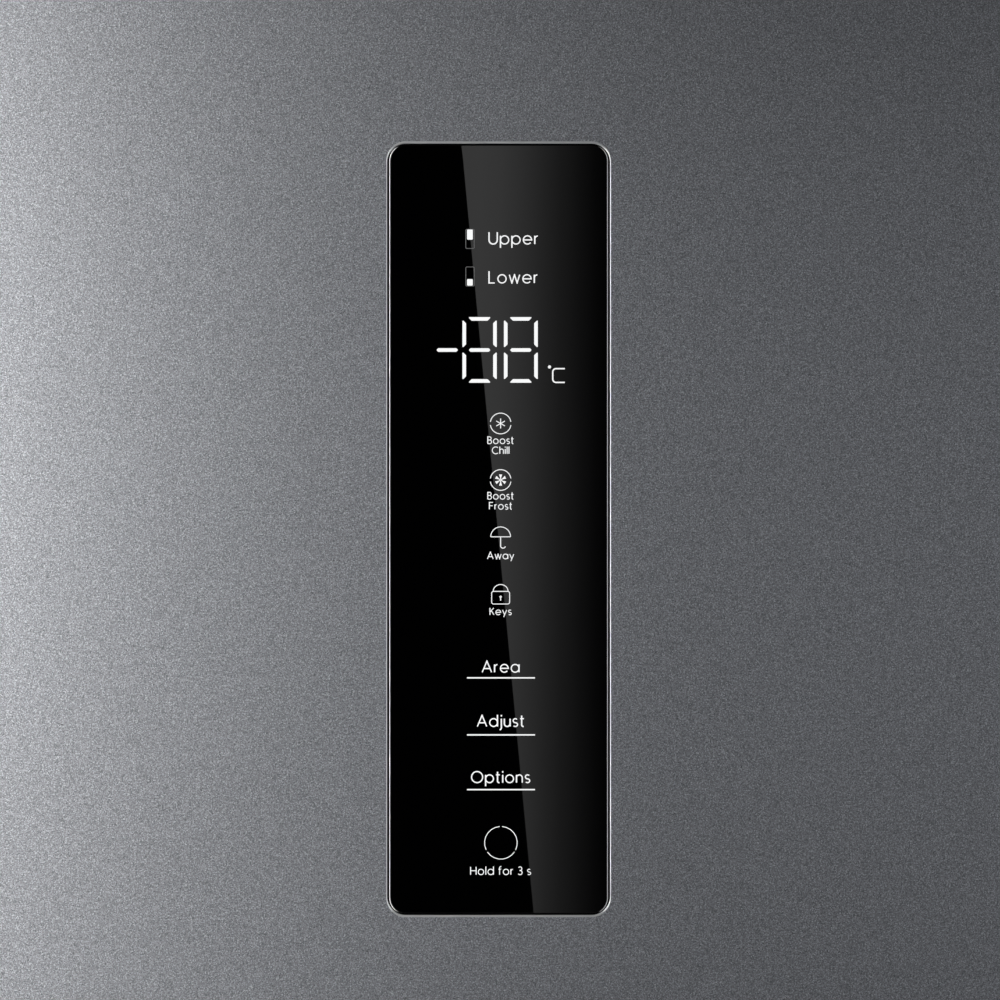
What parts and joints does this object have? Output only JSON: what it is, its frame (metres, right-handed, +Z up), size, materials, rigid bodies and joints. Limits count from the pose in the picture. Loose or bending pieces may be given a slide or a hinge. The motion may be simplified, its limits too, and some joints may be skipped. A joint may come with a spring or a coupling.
{
  "type": "two-door refrigerator",
  "caption": "Tall free-standing refrigerator with a freezer door below, recessed grips, a touch display, glass shelves, drawers and door bins.",
  "frame": {"origin": "on the floor, midway between the sides and midway between the display glass and the wall spacers", "axes": "+Z up, -Y out of the doors, +X to the hinge side, which is the right as the doors are faced"},
  "size_m": [0.595, 0.635, 1.855],
  "materials": {
    "door_steel": "fine-grained dark steel with a clear coat",
    "cabinet_steel": "satin grey paint",
    "plain_steel": "zinc-coated sheet",
    "base_steel": "dark powder coat",
    "foam": "rigid foam, matt",
    "liner_white": "satin white",
    "hinge_steel": "zinc-plated plate",
    "screw_steel": "zinc-plated",
    "dark_plastic": "fine texture",
    "cap_plastic": "fine texture",
    "compressor_black": "gloss black enamel",
    "mount_rubber": "matt",
    "roller_plastic": "moulded",
    "box_plastic": "moulded",
    "copper": "drawn copper tube",
    "lamp_cover": "frosted",
    "shelf_glass": "clear toughened",
    "trim_plastic": "satin grey",
    "fin_aluminium": "mill finish",
    "fan_plastic": "moulded",
    "clear_plastic": "clear",
    "frost_plastic": "frosted",
    "seal_rubber": "soft grey",
    "display_glass": "gloss black",
    "bezel_metal": "bright"
  },
  "bodies": {
    "cabinet": {"cabinet_shell": "cabinet_steel", "back_panel": "plain_steel", "cabinet_foam": "foam", "fridge_liner": "liner_white", "freezer_liner": "liner_white", "centre_rail": "cabinet_steel", "base_frame": "base_steel", "plinth_grille": "dark_plastic", "top_hinge": "hinge_steel", "middle_hinge": "hinge_steel", "bottom_hinge": "hinge_steel", "hinge_screws": "screw_steel", "hinge_covers": "dark_plastic", "compressor": "compressor_black", "compressor_mounts": "mount_rubber", "inverter_box": "box_plastic", "refrigerant_pipes": "copper", "drip_tray": "dark_plastic", "rear_cover": "plain_steel", "mains_inlet": "dark_plastic", "wall_spacers": "dark_plastic", "air_duct_cover": "liner_white", "ceiling_lamp": "lamp_cover", "shelf_upper": "shelf_glass", "shelf_middle": "shelf_glass", "shelf_lower": "shelf_glass", "crisper_cover": "shelf_glass", "shelf_trims": "trim_plastic", "evaporator_cover": "liner_white", "evaporator": "fin_aluminium", "fan_motor": "fan_plastic", "freezer_shelves": "shelf_glass"},
    "fridge_door": {"fridge_door_skin": "door_steel", "fridge_door_foam": "foam", "fridge_door_liner": "liner_white", "fridge_door_caps": "cap_plastic", "fridge_door_gasket": "seal_rubber", "dairy_bin": "clear_plastic", "door_bins": "clear_plastic", "display_glass": "display_glass", "display_bezel": "bezel_metal", "display_board": "box_plastic"},
    "freezer_door": {"freezer_door_skin": "door_steel", "freezer_door_foam": "foam", "freezer_door_liner": "liner_white", "freezer_door_caps": "cap_plastic", "freezer_door_gasket": "seal_rubber"},
    "dairy_lid": {"dairy_lid": "clear_plastic"},
    "chill_drawer": {"chill_drawer": "clear_plastic"},
    "crisper_left": {"crisper_left": "clear_plastic"},
    "crisper_right": {"crisper_right": "clear_plastic"},
    "humidity_slider": {"humidity_slider": "trim_plastic"},
    "freezer_drawer_top": {"freezer_drawer_top": "frost_plastic"},
    "freezer_drawer_middle": {"freezer_drawer_middle": "frost_plastic"},
    "freezer_drawer_bottom": {"freezer_drawer_bottom": "frost_plastic"},
    "evaporator_fan": {"evaporator_fan": "fan_plastic"},
    "foot_left": {"foot_left": "dark_plastic"},
    "foot_right": {"foot_right": "dark_plastic"},
    "roller_left": {"roller_left": "roller_plastic"},
    "roller_right": {"roller_right": "roller_plastic"}
  },
  "joints": [
    {"name": "fridge_door_hinge", "type": "hinge", "parent": "cabinet", "child": "fridge_door", "pos_m": [0.2795, -0.2931, 1.276], "axis": [0, 0, 1], "range_deg": [0, 135]},
    {"name": "freezer_door_hinge", "type": "hinge", "parent": "cabinet", "child": "freezer_door", "pos_m": [0.2795, -0.2931, 0.393], "axis": [0, 0, 1], "range_deg": [0, 135]},
    {"name": "dairy_lid_hinge", "type": "hinge", "parent": "fridge_door", "child": "dairy_lid", "pos_m": [0, -0.2501, 1.652], "axis": [1, 0, 0], "range_deg": [0, 85]},
    {"name": "chill_drawer_slide", "type": "slide", "parent": "cabinet", "child": "chill_drawer", "axis": [0, -1, 0], "range_m": [0, 0.22]},
    {"name": "crisper_left_slide", "type": "slide", "parent": "cabinet", "child": "crisper_left", "axis": [0, -1, 0], "range_m": [0, 0.22]},
    {"name": "crisper_right_slide", "type": "slide", "parent": "cabinet", "child": "crisper_right", "axis": [0, -1, 0], "range_m": [0, 0.22]},
    {"name": "freezer_drawer_top_slide", "type": "slide", "parent": "cabinet", "child": "freezer_drawer_top", "axis": [0, -1, 0], "range_m": [0, 0.18]},
    {"name": "freezer_drawer_middle_slide", "type": "slide", "parent": "cabinet", "child": "freezer_drawer_middle", "axis": [0, -1, 0], "range_m": [0, 0.18]},
    {"name": "freezer_drawer_bottom_slide", "type": "slide", "parent": "cabinet", "child": "freezer_drawer_bottom", "axis": [0, -1, 0], "range_m": [0, 0.18]},
    {"name": "humidity_slider_slide", "type": "slide", "parent": "cabinet", "child": "humidity_slider", "axis": [1, 0, 0], "range_m": [-0.015, 0.015]},
    {"name": "evaporator_fan_spin", "type": "hinge", "parent": "cabinet", "child": "evaporator_fan", "pos_m": [0, 0.2005, 0.596], "axis": [0, 1, 0], "continuous": true},
    {"name": "foot_left_screw", "type": "hinge", "parent": "cabinet", "child": "foot_left", "pos_m": [-0.2525, -0.2051, 0.01], "axis": [0, 0, 1], "continuous": true},
    {"name": "foot_right_screw", "type": "hinge", "parent": "cabinet", "child": "foot_right", "pos_m": [0.2525, -0.2051, 0.01], "axis": [0, 0, 1], "continuous": true},
    {"name": "roller_left_spin", "type": "hinge", "parent": "cabinet", "child": "roller_left", "pos_m": [-0.2525, 0.2485, 0.018], "axis": [1, 0, 0], "continuous": true},
    {"name": "roller_right_spin", "type": "hinge", "parent": "cabinet", "child": "roller_right", "pos_m": [0.2525, 0.2485, 0.018], "axis": [1, 0, 0], "continuous": true}
  ],
  "couplings": [
    {"joint": "chill_drawer_slide", "follows": "fridge_door_hinge", "m_per_rad": 0.0933},
    {"joint": "crisper_left_slide", "follows": "fridge_door_hinge", "m_per_rad": 0.0933},
    {"joint": "crisper_right_slide", "follows": "fridge_door_hinge", "m_per_rad": 0.0933},
    {"joint": "freezer_drawer_top_slide", "follows": "freezer_door_hinge", "m_per_rad": 0.0763},
    {"joint": "freezer_drawer_middle_slide", "follows": "freezer_door_hinge", "m_per_rad": 0.0763},
    {"joint": "freezer_drawer_bottom_slide", "follows": "freezer_door_hinge", "m_per_rad": 0.0763}
  ]
}
